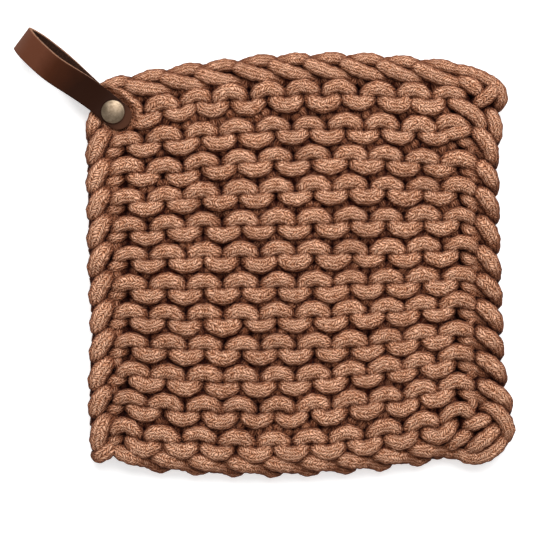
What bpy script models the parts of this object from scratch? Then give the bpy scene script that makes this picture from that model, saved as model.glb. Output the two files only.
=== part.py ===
"""Garter-knit pot holder of thick cotton cord, with a riveted leather hanging loop.

The holder lies flat on its back, +Z up, its cast-on edge towards -Y. The origin is under the
middle of the knit, on the surface that the holder lies on. Sizes in the tables are millimetres.

A place in the knit is a column and a course. Column 0 is the middle of the first stitch and
column 9 the middle of the last. Course 1 is the line through the loop heads of the top ridge
and course 12 that of the bottom ridge, so course 0 is the bound-off edge.
"""

import math
from typing import NamedTuple

import bmesh
import bpy
from mathutils import Vector
from mathutils.geometry import intersect_point_line

MM = 0.001
GAP = 0.3

LAST_COLUMN = 9
RIDGES = 12
LEFT_EDGE = -1.15
RIGHT_EDGE = 10.0
HALF_STITCH = 0.5
FRONT_STEPS = 4
FRONT_LEFT_COLUMNS = (LEFT_EDGE, -1.08, -0.85)
FRONT_RIGHT_COLUMNS = (9.75, 9.93, RIGHT_EDGE)
BACK_STEPS = 2
BACK_LEFT_COLUMNS = (LEFT_EDGE + 0.16, -0.8)
BACK_RIGHT_COLUMNS = (9.72, RIGHT_EDGE - 0.14)

SELVEDGE_TOP = 13.6
SELVEDGE_DROP = 8.3
DROP_START = 0.5
DROP_LENGTH = 1.5
SELVEDGE_NOTCH = 1.3
RIM_HEIGHT = 6.6
BACK_RIM_HEIGHT = 2.4
GAP_LINE = -0.21

RIVET_SPOT = Vector((-88.7, 74.7, 0.0))
LOOP_WAY = Vector((-0.774, 0.633, 0.0)).normalized()
LOOP_ACROSS = Vector((LOOP_WAY.y, -LOOP_WAY.x, 0.0))
CLAMP_HEIGHT = 7.0
STRAP_WIDTH = 13.2
STRAP_THICKNESS = 1.9
STRAP_CHAMFER = 0.3
STRAP_LIFT = 3.95
STRAP_END = 3.1
END_TURNS = (0.0, 25.0, 47.0, 66.0, 80.0)
LOOP_ROLL = math.radians(18.0)
ROLL_START = 6.0
ROLL_END = 40.0
LOOP_RISE = 0.04
SEAT_REACH = 19.0
SEAT_DEPTH = 9.0
PRESS_SLOPE = 1.2

POST_RADIUS = 1.6
POST_HOLE_SEGMENTS = 24
POST_HOLE_DEPTH = 40.0
CAP_RADIUS = 5.75
CAP_ROLL = 0.5
DOME_RISE = 1.6
DOME_STEPS = 7
BACK_CAP_RADIUS = 4.5
BACK_CAP_DEPTH = 1.5
RIVET_SEGMENTS = 48
CREASE_ANGLE = math.radians(40.0)

CORD_COLOUR = (0.46, 0.22, 0.13)
LEATHER_COLOUR = (0.105, 0.030, 0.012)
BRASS_COLOUR = (0.38, 0.29, 0.17)


class Course(NamedTuple):
    """Where one course of the knit runs: its X at five columns and its Y at three."""

    left_edge: float
    first: float
    middle: float
    last: float
    right_edge: float
    first_y: float
    middle_y: float
    last_y: float


COURSES = (
    Course(-95.2, -83.0, -3.9, 75.6, 94.0, 91.3, 102.5, 99.8),
    Course(-100.5, -82.0, -4.6, 74.2, 102.5, 77.6, 86.4, 85.4),
    Course(-101.5, -82.5, -1.0, 76.6, 100.5, 63.0, 69.3, 70.8),
    Course(-101.5, -82.5, -0.2, 81.0, 98.8, 48.3, 54.4, 51.7),
    Course(-101.3, -82.5, 0.0, 81.0, 99.1, 34.6, 39.8, 38.8),
    Course(-101.0, -81.5, 0.6, 81.0, 99.1, 21.0, 24.4, 24.9),
    Course(-101.5, -80.5, 1.0, 81.5, 99.8, 6.6, 8.8, 10.7),
    Course(-101.3, -80.5, 1.0, 81.0, 100.3, -7.8, -6.6, -3.9),
    Course(-99.6, -81.0, 0.5, 80.0, 101.0, -22.2, -21.7, -16.6),
    Course(-99.1, -80.5, 1.0, 78.6, 101.5, -36.4, -37.1, -30.7),
    Course(-99.6, -82.0, 0.7, 78.6, 102.2, -50.3, -52.5, -42.9),
    Course(-99.6, -83.0, 0.2, 78.6, 105.4, -63.9, -67.1, -56.1),
    Course(-99.1, -83.4, -1.5, 80.3, 107.8, -78.6, -83.9, -70.8),
    Course(-97.6, -83.4, -1.5, 79.1, 99.0, -92.7, -99.1, -89.3),
)


class Line(NamedTuple):
    """One line of the knit's surface along a course.

    offset and wave are in courses: the line swings up by wave at the columns wave_at + n.
    low and high are heights, and the line is high at the columns high_at + n.
    """

    offset: float
    wave: float
    wave_at: float
    low: float
    high: float
    high_at: float


BIND_OFF_LINES = (
    Line(0.00, 0.05, -0.2, 6.4, 6.8, -0.2),
    Line(0.04, 0.04, -0.2, 9.0, 10.4, -0.2),
    Line(0.13, 0.02, -0.2, 11.2, 13.0, -0.2),
    Line(0.28, 0.00, 0.0, 11.0, 12.6, 0.1),
    Line(0.45, 0.00, 0.0, 12.6, 14.8, -0.1),
    Line(0.62, 0.02, 0.0, 12.2, 14.0, -0.2),
)
RIDGE_LINES = (
    Line(GAP_LINE, 0.08, 0.0, 8.0, 9.5, HALF_STITCH),
    Line(-0.06, 0.05, 0.0, 11.8, 14.2, 0.0),
    Line(0.10, 0.02, 0.0, 13.0, 15.3, 0.0),
    Line(0.27, 0.00, 0.0, 11.0, 12.4, HALF_STITCH),
    Line(0.44, 0.02, 0.0, 11.0, 15.3, HALF_STITCH),
    Line(0.62, 0.06, 0.0, 9.5, 13.6, HALF_STITCH),
)
CAST_ON_LINES = (
    Line(12.79, 0.08, 0.0, 8.0, 9.5, HALF_STITCH),
    Line(13.04, 0.00, 0.0, 11.0, 12.8, 0.0),
    Line(13.24, 0.04, HALF_STITCH, 8.8, 10.2, 0.0),
    Line(13.30, 0.05, HALF_STITCH, 6.0, 6.6, 0.0),
)
BACK_TOP_LINES = (
    Line(0.08, 0.03, -0.2, BACK_RIM_HEIGHT, BACK_RIM_HEIGHT, 0.0),
    Line(0.29, 0.04, HALF_STITCH, 3.4, 4.6, 0.0),
)
BACK_RIDGE_LINES = (
    Line(-0.60, 0.05, HALF_STITCH, 0.0, 0.0, 0.0),
    Line(0.10, 0.05, HALF_STITCH, 0.0, 0.0, 0.0),
    Line(0.29, 0.06, HALF_STITCH, 3.4, 4.6, 0.0),
)
BACK_CAST_ON_LINES = (
    Line(12.40, 0.05, HALF_STITCH, 0.0, 0.0, 0.0),
    Line(12.95, 0.00, 0.0, 0.0, 0.0, 0.0),
    Line(13.18, 0.04, HALF_STITCH, BACK_RIM_HEIGHT, BACK_RIM_HEIGHT, 0.0),
)


class LoopStep(NamedTuple):
    """A point of the strap's middle line: distance out from the rivet, height, facets to next."""

    out: float
    height: float
    facets: int


LOOP_STEPS = (
    LoopStep(-STRAP_END, -STRAP_LIFT, 1),
    LoopStep(7.0, -STRAP_LIFT, 4),
    LoopStep(22.0, -4.9, 4),
    LoopStep(38.0, -5.2, 4),
    LoopStep(49.5, -4.1, 5),
    LoopStep(56.05, -0.4, 1),
    LoopStep(56.05, 2.2, 5),
    LoopStep(49.5, 6.2, 4),
    LoopStep(36.0, 8.6, 4),
    LoopStep(20.0, 6.9, 4),
    LoopStep(7.0, STRAP_LIFT, 1),
    LoopStep(-STRAP_END, STRAP_LIFT, 0),
)


def clear_scene():
    """Take every object out of the open file."""
    for scene_object in list(bpy.data.objects):
        bpy.data.objects.remove(scene_object, do_unlink=True)


def make_material(name, colour, roughness, metallic=0.0):
    """Make a plain material of one colour."""
    material = bpy.data.materials.new(name)
    material.use_nodes = True
    shader = material.node_tree.nodes["Principled BSDF"]
    shader.inputs["Base Color"].default_value = (*colour, 1.0)
    shader.inputs["Roughness"].default_value = roughness
    shader.inputs["Metallic"].default_value = metallic
    return material


def add_object(name, mesh_builder, material=None):
    """Turn a bmesh in millimetres into a smooth-shaded object in metres."""
    bmesh.ops.scale(mesh_builder, vec=Vector((MM, MM, MM)), verts=mesh_builder.verts)
    bmesh.ops.recalc_face_normals(mesh_builder, faces=mesh_builder.faces)
    mesh = bpy.data.meshes.new(name)
    mesh_builder.to_mesh(mesh)
    mesh_builder.free()
    mesh.shade_smooth()
    mesh.set_sharp_from_angle(angle=CREASE_ANGLE)
    if material:
        mesh.materials.append(material)
    made = bpy.data.objects.new(name, mesh)
    bpy.context.scene.collection.objects.link(made)
    return made


def cut_away(body, cutter):
    """Subtract a guide object from a body."""
    cutter.hide_render = True
    cutter.display_type = "WIRE"
    cut = body.modifiers.new(cutter.name, "BOOLEAN")
    cut.operation = "DIFFERENCE"
    cut.solver = "EXACT"
    cut.object = cutter


def blend(start, end, share):
    """Step from start to end by a share."""
    return start + (end - start) * share


def clamp(value, low, high):
    """Keep a value between two limits."""
    return max(low, min(high, value))


def bowed(first, middle, last, column):
    """Read the parabola through three values at the first, middle and last columns."""
    reach = 2.0 * column / LAST_COLUMN - 1.0
    return middle + reach * (last - first) / 2 + reach * reach * ((first + last) / 2 - middle)


def place_on_course(course, column):
    """Find a column's place on one course of the table."""
    if column < 0:
        x = blend(course.first, course.left_edge, column / LEFT_EDGE)
    elif column > LAST_COLUMN:
        share = (column - LAST_COLUMN) / (RIGHT_EDGE - LAST_COLUMN)
        x = blend(course.last, course.right_edge, share)
    else:
        x = bowed(course.first, course.middle, course.last, column)
    return Vector((x, bowed(course.first_y, course.middle_y, course.last_y, column), 0.0))


def selvedge_share(column):
    """Say how far a column lies into a side edge, from 0 at the last stitch to 1 outside."""
    left = (-HALF_STITCH - column) / (-HALF_STITCH - LEFT_EDGE)
    right_start = LAST_COLUMN + HALF_STITCH
    right = (column - right_start) / (RIGHT_EDGE - right_start)
    return clamp(max(left, right), 0.0, 1.0)


def place_in_knit(column, course):
    """Find a place in the knit. At the sides the cord turns downwards on its way out."""
    index = int(clamp(math.floor(course), 0, RIDGES))
    spot = place_on_course(COURSES[index], column)
    spot = spot.lerp(place_on_course(COURSES[index + 1], column), course - index)
    side = selvedge_share(column)
    drop = clamp((course - DROP_START) / DROP_LENGTH, 0.0, 1.0)
    drop *= clamp(RIDGES + 1 - course, 0.0, 1.0)
    spot.y -= SELVEDGE_DROP * side * drop
    notch = 0.5 + 0.5 * math.cos(math.tau * (course - GAP_LINE))
    inward = SELVEDGE_NOTCH * notch * (side >= 1.0)
    spot.x += inward if column < 0 else -inward
    return spot


def swell(column):
    """Give the roundness of a stitch: 1 on its middle, 0 where it meets the next."""
    return 1.0 - (2.0 * abs(column - round(column))) ** 3


def pressed(spot, height):
    """Lower the top, and lift the underside, of the knit that the strap's ends squeeze."""
    inner = RIVET_SPOT - LOOP_WAY * STRAP_END
    outer = RIVET_SPOT + LOOP_WAY * SEAT_REACH
    share = intersect_point_line(spot, inner, outer)[1]
    nearest = inner.lerp(outer, clamp(share, 0.0, 1.0))
    away = max(0.0, (spot - nearest).length - STRAP_WIDTH / 2) * PRESS_SLOPE
    seat = STRAP_LIFT - STRAP_THICKNESS / 2 - GAP
    return clamp(height, CLAMP_HEIGHT - seat - away, CLAMP_HEIGHT + seat + away)


def knit_point(line, ridge, column, rim_height):
    """Make one point of the knit's surface on a line of a ridge."""
    wave = line.wave * math.cos(math.tau * (column - line.wave_at))
    spot = place_in_knit(column, ridge + line.offset - wave)
    height = blend(line.low, line.high, swell(column - line.high_at))
    side = selvedge_share(column)
    if side > 0.0:
        round_edge = blend(rim_height, SELVEDGE_TOP, math.sqrt(1.0 - side * side))
        height = rim_height if side >= 1.0 else min(line.high, round_edge)
    spot.z = pressed(spot, height)
    return spot


def ridge_lines(above, repeated, below):
    """List every line of one face from top to bottom, each with the ridge it belongs to."""
    lines = [(line, 0) for line in above]
    for ridge in range(1, RIDGES + 1):
        lines += [(line, ridge) for line in repeated]
    return lines + [(line, 0) for line in below]


def stitch_columns(steps, left, right):
    """List the columns of one face: the side edges and so many steps in each stitch."""
    count = steps * (LAST_COLUMN + 1)
    return [*left, *(-HALF_STITCH + step / steps for step in range(count + 1)), *right]


def add_face_grid(builder, lines, columns, rim_height):
    """Add one face of the knit and give the loop of points round its rim, with their shares."""
    grid = [
        [builder.verts.new(knit_point(line, ridge, column, rim_height)) for column in columns]
        for line, ridge in lines
    ]
    for upper, lower in zip(grid, grid[1:]):
        for left in range(len(columns) - 1):
            corners = (upper[left], upper[left + 1], lower[left + 1], lower[left])
            builder.faces.new(corners)
    rows, count = len(grid) - 1, len(columns) - 1
    rim = [(grid[0][i], i / count) for i in range(count)]
    rim += [(grid[i][count], 1 + i / rows) for i in range(rows)]
    rim += [(grid[rows][count - i], 2 + i / count) for i in range(count)]
    rim += [(grid[rows - i][0], 3 + i / rows) for i in range(rows)]
    return rim


def zip_rims(builder, front, back):
    """Close the side of the knit with triangles between its two rims."""
    front = front + [(front[0][0], 4.0)]
    back = back + [(back[0][0], 4.0)]
    i = j = 0
    while i < len(front) - 1 or j < len(back) - 1:
        front_next = front[i + 1][1] if i < len(front) - 1 else math.inf
        back_next = back[j + 1][1] if j < len(back) - 1 else math.inf
        if front_next <= back_next:
            builder.faces.new((front[i][0], front[i + 1][0], back[j][0]))
            i += 1
        else:
            builder.faces.new((front[i][0], back[j + 1][0], back[j][0]))
            j += 1


def make_knit(material):
    """Build the knitted square with its stitches raised on the front and ridges on the back."""
    builder = bmesh.new()
    front = add_face_grid(
        builder,
        ridge_lines(BIND_OFF_LINES, RIDGE_LINES, CAST_ON_LINES),
        stitch_columns(FRONT_STEPS, FRONT_LEFT_COLUMNS, FRONT_RIGHT_COLUMNS),
        RIM_HEIGHT,
    )
    back = add_face_grid(
        builder,
        ridge_lines(BACK_TOP_LINES, BACK_RIDGE_LINES, BACK_CAST_ON_LINES),
        stitch_columns(BACK_STEPS, BACK_LEFT_COLUMNS, BACK_RIGHT_COLUMNS),
        BACK_RIM_HEIGHT,
    )
    zip_rims(builder, front, back)
    return add_object("knit_square", builder, material)


def strap_roll(out):
    """Give the strap's turn about its length: none at the rivet, all of it further out."""
    share = clamp((out - ROLL_START) / (ROLL_END - ROLL_START), 0.0, 1.0)
    return LOOP_ROLL * share * share * (3.0 - 2.0 * share)


def strap_point(out, height, across):
    """Place a point of the loop from its distance out, height and place across the strap."""
    roll = strap_roll(out)
    sideways = across * math.cos(roll) - height * math.sin(roll)
    rise = across * math.sin(roll) + height * math.cos(roll)
    rise += LOOP_RISE * max(0.0, out - ROLL_START)
    spot = RIVET_SPOT + LOOP_WAY * out + LOOP_ACROSS * sideways
    spot.z = CLAMP_HEIGHT + rise
    return spot


def strap_end(height, margin):
    """Round an end of the strap off, as (out, height, half width) from full width to tip."""
    radius = STRAP_WIDTH / 2 + margin
    turns = [math.radians(turn) for turn in END_TURNS]
    return [
        (-STRAP_END - radius * math.sin(turn), height, radius * math.cos(turn)) for turn in turns
    ]


def loop_path(margin=0.0):
    """Smooth the strap's middle line through its steps, as (out, height, half width)."""
    half_width = STRAP_WIDTH / 2 + margin
    path = strap_end(LOOP_STEPS[0].height, margin)[:0:-1]
    last = len(LOOP_STEPS) - 1
    for index in range(last):
        before, start = LOOP_STEPS[max(0, index - 1)], LOOP_STEPS[index]
        end, after = LOOP_STEPS[index + 1], LOOP_STEPS[min(last, index + 2)]
        for facet in range(start.facets):
            share = facet / start.facets
            out = smooth_step(before.out, start.out, end.out, after.out, share)
            height = smooth_step(before.height, start.height, end.height, after.height, share)
            path.append((out, height, half_width))
    return path + strap_end(LOOP_STEPS[last].height, margin)


def smooth_step(before, start, end, after, share):
    """Read a curve that passes start and end and follows their neighbours' direction."""
    leave, arrive = (end - before) / 2, (after - start) / 2
    square, cube = share * share, share * share * share
    return (
        start * (2 * cube - 3 * square + 1)
        + leave * (cube - 2 * square + share)
        + end * (3 * square - 2 * cube)
        + arrive * (cube - square)
    )


def path_normal(path, index):
    """Give the direction square to the strap's middle line, towards the outside of the loop."""
    before, after = path[max(0, index - 1)], path[min(len(path) - 1, index + 1)]
    along = Vector((after[0] - before[0], after[1] - before[1])).normalized()
    return Vector((along.y, -along.x))


def sweep_strap(path, inner, outer):
    """Sweep an oblong section along the strap, inner and outer its depths from the middle."""
    builder = bmesh.new()
    rings = []
    for index, (out, height, half_width) in enumerate(path):
        normal = path_normal(path, index)
        rings.append([
            builder.verts.new(
                strap_point(out + normal.x * depth, height + normal.y * depth, across)
            )
            for across, depth in box_section(half_width, inner, outer, STRAP_CHAMFER)
        ])
    count = len(rings[0])
    for ring, following in zip(rings, rings[1:]):
        for i in range(count):
            after = (i + 1) % count
            builder.faces.new((ring[i], ring[after], following[after], following[i]))
    builder.faces.new(rings[0])
    builder.faces.new(rings[-1])
    return builder


def box_section(half_width, inner, outer, chamfer):
    """List the corners of a chamfered oblong section."""
    return [
        (-half_width + chamfer, inner), (half_width - chamfer, inner),
        (half_width, inner + chamfer), (half_width, outer - chamfer),
        (half_width - chamfer, outer), (-half_width + chamfer, outer),
        (-half_width, outer - chamfer), (-half_width, inner + chamfer),
    ]


def make_strap(material):
    """Build the folded leather strap."""
    half = STRAP_THICKNESS / 2
    return add_object("leather_loop", sweep_strap(loop_path(), -half, half), material)


def make_seat(name, front):
    """Make the guide that clears one strap end, out to where the strap leaves the knit."""
    path = [spot for spot in loop_path(GAP) if (spot[1] > 0) == front and spot[0] < SEAT_REACH]
    return add_object(name, sweep_strap(path, -STRAP_THICKNESS / 2 - GAP, SEAT_DEPTH))


def make_post_hole():
    """Make the guide that opens the rivet's way through the strap and the knit."""
    builder = bmesh.new()
    bmesh.ops.create_cone(
        builder,
        cap_ends=True,
        segments=POST_HOLE_SEGMENTS,
        radius1=POST_RADIUS + GAP,
        radius2=POST_RADIUS + GAP,
        depth=POST_HOLE_DEPTH,
    )
    bmesh.ops.translate(builder, vec=RIVET_SPOT, verts=builder.verts)
    return add_object("post_hole", builder)


def rivet_outline():
    """List the rivet's half profile, as (radius, height), from the back cap to the crown."""
    back_seat = CLAMP_HEIGHT - STRAP_LIFT - STRAP_THICKNESS / 2 - GAP
    cap_seat = CLAMP_HEIGHT + STRAP_LIFT + STRAP_THICKNESS / 2 + GAP
    outline = [
        (0.0, back_seat - BACK_CAP_DEPTH),
        (BACK_CAP_RADIUS - CAP_ROLL, back_seat - BACK_CAP_DEPTH),
        (BACK_CAP_RADIUS, back_seat - BACK_CAP_DEPTH + CAP_ROLL),
        (BACK_CAP_RADIUS, back_seat),
        (POST_RADIUS, back_seat),
        (POST_RADIUS, cap_seat),
        (CAP_RADIUS - CAP_ROLL / 2, cap_seat),
    ]
    for step in range(DOME_STEPS):
        turn = math.pi / 2 * step / DOME_STEPS
        width = math.cos(turn) ** 0.5
        outline.append((CAP_RADIUS * width, cap_seat + CAP_ROLL + DOME_RISE * math.sin(turn)))
    return outline + [(0.0, cap_seat + CAP_ROLL + DOME_RISE)]


def make_rivet(material):
    """Turn the cap rivet from its half profile."""
    builder = bmesh.new()
    verts = [builder.verts.new((radius, 0.0, height)) for radius, height in rivet_outline()]
    edges = [builder.edges.new(pair) for pair in zip(verts, verts[1:])]
    bmesh.ops.spin(
        builder,
        geom=verts + edges,
        axis=(0.0, 0.0, 1.0),
        cent=(0.0, 0.0, 0.0),
        angle=math.tau,
        steps=RIVET_SEGMENTS,
        use_merge=True,
    )
    bmesh.ops.remove_doubles(builder, verts=builder.verts, dist=0.001)
    bmesh.ops.translate(builder, vec=RIVET_SPOT, verts=builder.verts)
    return add_object("rivet", builder, material)


def main():
    """Build the pot holder."""
    clear_scene()
    knit = make_knit(make_material("cotton_cord", CORD_COLOUR, 0.9))
    strap = make_strap(make_material("strap_leather", LEATHER_COLOUR, 0.5))
    make_rivet(make_material("aged_brass", BRASS_COLOUR, 0.4, 1.0))
    post_hole = make_post_hole()
    cut_away(knit, make_seat("front_seat", True))
    cut_away(knit, make_seat("back_seat", False))
    cut_away(knit, post_hole)
    cut_away(strap, post_hole)


main()
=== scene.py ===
"""Dresses the knitted pot holder: its cotton cord row by row, its leather loop and its rivet."""

import logging
import math
import random
from dataclasses import dataclass, field
from enum import Enum
from typing import NamedTuple

import bmesh
import bpy
import numpy as np
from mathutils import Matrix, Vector


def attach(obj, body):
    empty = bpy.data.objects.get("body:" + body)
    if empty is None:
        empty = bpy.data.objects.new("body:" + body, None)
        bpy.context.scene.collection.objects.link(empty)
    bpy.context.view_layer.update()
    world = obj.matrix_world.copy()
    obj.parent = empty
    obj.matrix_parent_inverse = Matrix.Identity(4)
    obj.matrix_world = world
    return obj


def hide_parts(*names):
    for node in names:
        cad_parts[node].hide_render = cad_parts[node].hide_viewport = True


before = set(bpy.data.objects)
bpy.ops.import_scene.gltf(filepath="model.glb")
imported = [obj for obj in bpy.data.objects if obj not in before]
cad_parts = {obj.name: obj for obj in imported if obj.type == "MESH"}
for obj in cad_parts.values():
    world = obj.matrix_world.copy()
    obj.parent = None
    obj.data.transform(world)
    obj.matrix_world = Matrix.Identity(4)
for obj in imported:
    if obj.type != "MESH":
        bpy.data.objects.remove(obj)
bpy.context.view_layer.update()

log = logging.getLogger("pot_holder")

MM = 0.001
BODY = "root"
SKY = "open_sky"
RIDGES = 12
LAST_COLUMN = 9
LEFT_EDGE = -1.15
RIGHT_EDGE = 10.0
STITCH_WIDTH = 18.0
EDGE_BOW = 0.4
MERGE = 1e-6

Colour = tuple[float, float, float]


class Course(NamedTuple):
    """Where one course of the knit runs: its X at five columns and its Y at three, in mm."""

    left_edge: float
    first: float
    middle: float
    last: float
    right_edge: float
    first_y: float
    middle_y: float
    last_y: float


COURSES = (
    Course(-95.2, -83.0, -3.9, 75.6, 94.0, 92.9, 104.2, 99.8),
    Course(-101.5, -82.3, -5.0, 74.8, 102.5, 77.4, 86.8, 85.0),
    Course(-102.4, -82.1, -2.0, 75.8, 100.5, 62.3, 69.5, 70.2),
    Course(-102.5, -82.3, -0.4, 79.6, 98.3, 47.6, 54.9, 52.2),
    Course(-102.2, -81.9, -0.1, 80.1, 98.6, 33.7, 39.8, 39.4),
    Course(-102.2, -81.1, 0.4, 80.0, 98.8, 20.3, 24.3, 25.2),
    Course(-102.3, -80.3, 0.7, 80.3, 99.1, 6.3, 8.7, 10.4),
    Course(-101.6, -80.3, 0.9, 80.1, 99.9, -7.9, -6.5, -4.0),
    Course(-100.6, -80.7, 0.2, 79.0, 101.0, -22.0, -21.7, -16.5),
    Course(-100.5, -79.5, 0.8, 78.3, 101.9, -36.3, -37.0, -30.2),
    Course(-101.3, -80.2, 0.4, 78.2, 102.3, -50.2, -52.3, -42.6),
    Course(-101.3, -81.7, 0.2, 78.3, 104.0, -64.2, -67.1, -55.8),
    Course(-100.6, -82.7, -1.8, 79.3, 107.8, -78.1, -84.1, -70.0),
    Course(-98.6, -83.2, -1.0, 79.6, 99.0, -95.2, -99.2, -90.3),
)


class BendStep(NamedTuple):
    """A point of half a loop's bend: columns out, courses back, mm under the crest, radius."""

    side: float
    back: float
    sink: float
    radius: float


BEND = (
    BendStep(0.00, 0.000, 0.0, 4.15),
    BendStep(0.15, 0.030, 0.2, 4.15),
    BendStep(0.27, 0.110, 1.0, 4.12),
    BendStep(0.35, 0.230, 2.6, 3.85),
    BendStep(0.38, 0.350, 5.0, 3.30),
)
CREST_HEIGHT = 11.25
BACK_HEIGHT = 4.0
SINKER_DROP = 0.537
SINKER_LEAN = 0.02
BACK_OFFSET = 0.5
CAST_ON_LIFT = 0.11
NECK_RADIUS = 2.35
FIRST_NECK_SIDE = 0.13
FIRST_NECK_BACK = 0.24
FIRST_NECK_HEIGHT = 8.9


class Pull(NamedTuple):
    """A front loop that lies out of line: its ridge and column, and mm to the right and up."""

    ridge: int
    column: float
    right: float
    up: float


PULLS = (
    Pull(1, 0.5, -0.5, -1.0),
    Pull(1, 1.0, 0.4, -0.8),
    Pull(1, 2.5, -1.2, -0.4),
    Pull(1, 3.0, -1.2, 0.3),
    Pull(1, 3.5, -1.2, 0.0),
    Pull(1, 7.0, 1.2, -0.8),
    Pull(1, 8.0, 1.6, -0.4),
    Pull(1, 8.5, -1.6, -0.8),
    Pull(2, 8.0, 0.4, -1.3),
    Pull(2, 1.5, 0.0, -0.8),
    Pull(3, 0.0, -0.4, 1.8),
    Pull(3, 0.5, -0.8, 0.8),
    Pull(3, 1.0, 0.0, -0.9),
    Pull(3, 1.5, 0.0, -1.4),
    Pull(4, 1.0, 0.0, -1.8),
    Pull(10, 0.0, 1.3, 0.0),
    Pull(10, 4.0, -0.9, 0.4),
    Pull(11, 0.0, 0.9, -0.5),
    Pull(11, 9.0, -1.2, 0.0),
    Pull(12, 0.5, 0.0, -1.3),
    Pull(12, 2.0, 0.0, 1.3),
    Pull(12, 6.0, -0.9, -0.5),
)
COURSE_HEIGHT = 14.7


class Stop(NamedTuple):
    """A point that the cord passes: column, course, height and cord radius in mm."""

    column: float
    course: float
    height: float
    radius: float


class Spot(NamedTuple):
    """A point that the cord passes at a corner: its X, Y, height and cord radius in mm."""

    x: float
    y: float
    height: float
    radius: float


RIGHT_LINK = (
    Stop(0.36, 0.23, 4.2, 2.4),
    Stop(0.50, 0.19, 6.5, 3.1),
    Stop(0.62, 0.33, 10.0, 4.2),
    Stop(0.75, 0.55, 10.3, 4.5),
    Stop(0.84, 0.78, 9.0, 4.4),
    Stop(0.87, 1.01, 6.8, 4.2),
    Stop(0.86, 1.21, 4.8, 3.8),
    Stop(0.62, 1.25, 3.7, 3.4),
    Stop(0.50, 0.98, 3.7, 3.5),
    Stop(0.68, 0.90, 4.2, 3.5),
    Stop(0.76, 0.98, 5.6, 3.5),
    Stop(0.67, 0.92, 6.8, 3.6),
    Stop(0.54, 0.77, 7.3, 3.6),
    Stop(0.40, 0.62, 8.3, 3.4),
    Stop(0.24, 0.55, 9.3, 3.5),
    Stop(0.15, 0.41, 8.6, 3.1),
    Stop(0.12, 0.246, 6.35, 2.7),
)
LEFT_LINK = (
    Stop(-0.12, 0.246, 6.35, 2.7),
    Stop(-0.20, 0.37, 8.4, 3.4),
    Stop(-0.38, 0.48, 8.8, 3.9),
    Stop(-0.56, 0.58, 7.2, 3.7),
    Stop(-0.74, 0.76, 5.6, 3.7),
    Stop(-0.89, 0.94, 5.0, 4.0),
    Stop(-0.91, 1.05, 4.4, 3.7),
    Stop(-0.76, 0.94, 3.6, 3.4),
    Stop(-0.50, 0.66, 3.8, 3.9),
    Stop(-0.43, 0.34, 3.8, 4.1),
    Stop(-0.68, 0.32, 4.0, 3.5),
    Stop(-0.85, 0.57, 5.6, 3.8),
    Stop(-0.90, 0.68, 7.8, 4.1),
    Stop(-0.89, 0.50, 9.9, 4.6),
    Stop(-0.79, 0.18, 11.0, 4.8),
    Stop(-0.66, -0.06, 10.6, 4.5),
    Stop(-0.52, -0.24, 7.8, 3.4),
    Stop(-0.32, -0.27, 5.2, 2.6),
    Stop(-0.15, -0.26, 7.5, 2.4),
)
LEFT_SPLIT = 9
LOWEST_TURN = 12.84
BIND_OFF_LINK = (
    Stop(0.05, 0.40, 6.0, 2.6),
    Stop(0.14, 0.34, 8.0, 3.1),
    Stop(0.45, 0.27, 9.0, 3.5),
    Stop(0.80, 0.23, 9.0, 3.7),
    Stop(1.12, 0.30, 8.0, 3.3),
    Stop(1.31, 0.50, 5.5, 2.8),
    Stop(1.33, 0.77, 8.0, 3.0),
    Stop(1.08, 0.71, 10.0, 3.5),
    Stop(0.68, 0.61, 11.2, 3.8),
    Stop(0.36, 0.49, 11.6, 3.9),
    Stop(0.13, 0.39, 10.4, 3.5),
    Stop(0.06, 0.46, 6.6, 2.7),
    Stop(0.24, 0.74, 4.4, 2.9),
    Stop(0.50, 0.99, 3.7, 3.5),
    Stop(0.80, 0.72, 4.2, 3.0),
)
CAST_ON_LINK = (
    Stop(-0.30, 12.74, 7.0, 3.4),
    Stop(-0.08, 12.80, 9.2, 4.1),
    Stop(0.18, 12.86, 9.4, 4.4),
    Stop(0.43, 12.90, 8.2, 4.1),
    Stop(0.68, 12.97, 6.2, 3.8),
    Stop(0.91, 13.06, 4.8, 4.1),
    Stop(1.13, 12.99, 4.2, 3.5),
    Stop(1.00, 12.80, 3.8, 3.4),
    Stop(0.76, 12.66, 4.2, 3.5),
)
TOP_RIGHT_TURN = (
    Spot(83.0, 80.6, 5.0, 2.8),
    Spot(88.0, 77.6, 4.4, 3.0),
    Spot(92.4, 75.6, 6.5, 3.3),
    Spot(95.6, 73.2, 9.0, 3.8),
    Spot(97.2, 69.4, 9.6, 4.0),
    Spot(97.8, 64.6, 8.6, 3.9),
    Spot(96.2, 60.0, 5.6, 3.5),
    Spot(92.8, 61.6, 3.8, 3.4),
    Spot(93.4, 67.0, 3.8, 3.4),
    Spot(91.4, 66.0, 7.0, 3.4),
    Spot(90.4, 69.8, 10.0, 3.9),
    Spot(87.0, 73.8, 11.2, 4.1),
    Spot(82.0, 76.8, 11.5, 4.0),
    Spot(77.4, 79.4, 10.2, 3.5),
    Spot(75.6, 81.6, 7.4, 2.7),
)
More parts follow.
